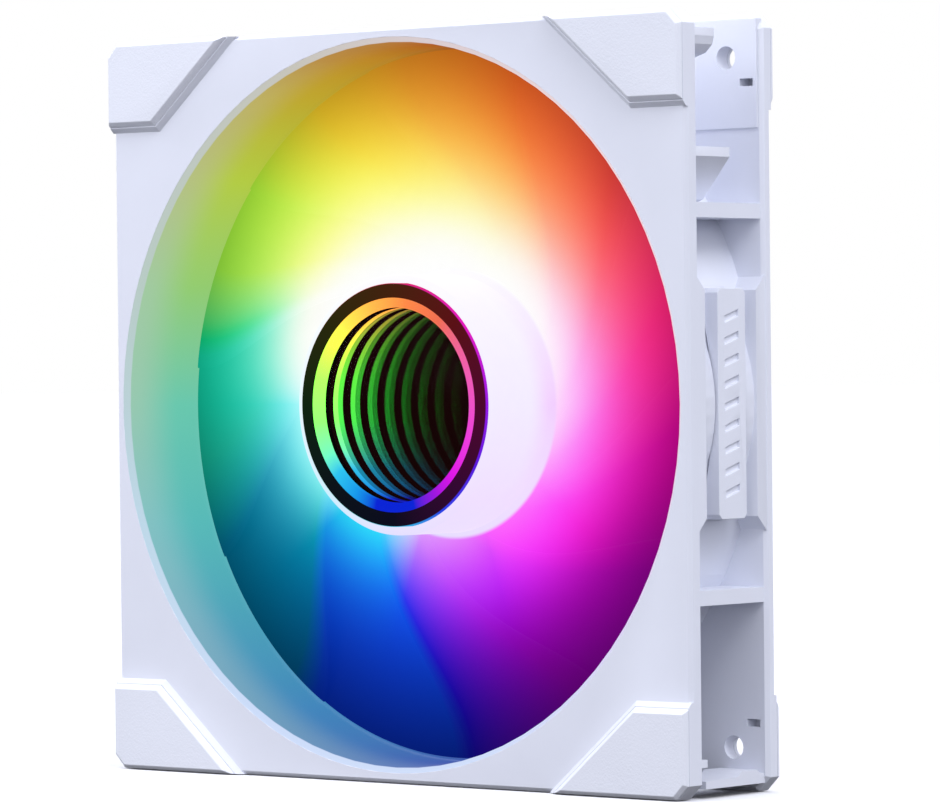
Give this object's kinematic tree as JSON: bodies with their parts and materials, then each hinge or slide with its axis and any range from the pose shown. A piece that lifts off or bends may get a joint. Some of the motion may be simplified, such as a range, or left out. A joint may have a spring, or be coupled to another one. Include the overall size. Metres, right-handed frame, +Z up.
{
  "type": "case fan",
  "caption": "Square axial case fan with rubber corner pads, a wide-bladed impeller, an infinity-mirror hub and its motor.",
  "frame": {"origin": "centre of the whole fan's box, on the rotor's axis, 14 mm behind the front pads' faces", "axes": "+X to the right seen from the front, +Y along the air flow from the front to the rear, +Z up; the fan stands on its bottom edge"},
  "size_m": [0.14, 0.028, 0.14],
  "materials": {
    "frame": "white ABS/PBT moulding, fine satin grain",
    "pad": "white rubber skin with a fine grain",
    "badge": "white satin plastic",
    "impeller": "milky translucent plastic that spreads the lamps' light",
    "trim": "gloss black",
    "pane": "half-silvered pane",
    "light": "milky light guide",
    "mirror": "polished mirror",
    "steel": "drawn steel",
    "magnet": "bonded ferrite",
    "brass": "turned brass",
    "bronze": "sintered bronze",
    "nylon": "natural nylon",
    "copper": "enamelled copper wire",
    "board": "white solder mask",
    "chip": "black epoxy",
    "lamp": "clear epoxy over a lamp chip",
    "label": "plain foil label"
  },
  "bodies": {
    "housing": {"bearing_sleeve": "bronze", "driver_chip": "chip", "frame": "frame", "front_pad_lower_left": "pad", "front_pad_lower_right": "pad", "front_pad_upper_left": "pad", "front_pad_upper_right": "pad", "hall_sensor": "chip", "insulator_front": "nylon", "insulator_rear": "nylon", "lead_header": "nylon", "led_1": "lamp", "led_2": "lamp", "led_3": "lamp", "led_4": "lamp", "led_5": "lamp", "led_6": "lamp", "led_7": "lamp", "led_8": "lamp", "motor_board": "board", "oil_seal": "nylon", "rear_label": "label", "rear_pad_lower_left": "pad", "rear_pad_lower_right": "pad", "rear_pad_upper_left": "pad", "rear_pad_upper_right": "pad", "retaining_clip": "steel", "side_badge_left": "badge", "side_badge_right": "badge", "stator_coil_1": "copper", "stator_coil_2": "copper", "stator_coil_3": "copper", "stator_coil_4": "copper", "stator_core": "steel", "thrust_plate": "nylon"},
    "rotor": {"impeller": "impeller", "hub_trim_ring": "trim", "mirror_spacer": "trim", "half_mirror_pane": "pane", "light_ring": "light", "rear_mirror": "mirror", "rotor_yoke": "steel", "magnet_ring": "magnet", "shaft_bush": "brass", "shaft": "steel"}
  },
  "joints": [
    {"name": "rotor_spin", "type": "hinge", "parent": "housing", "child": "rotor", "pos_m": [0, 0, 0], "axis": [0, 1, 0], "continuous": true}
  ]
}
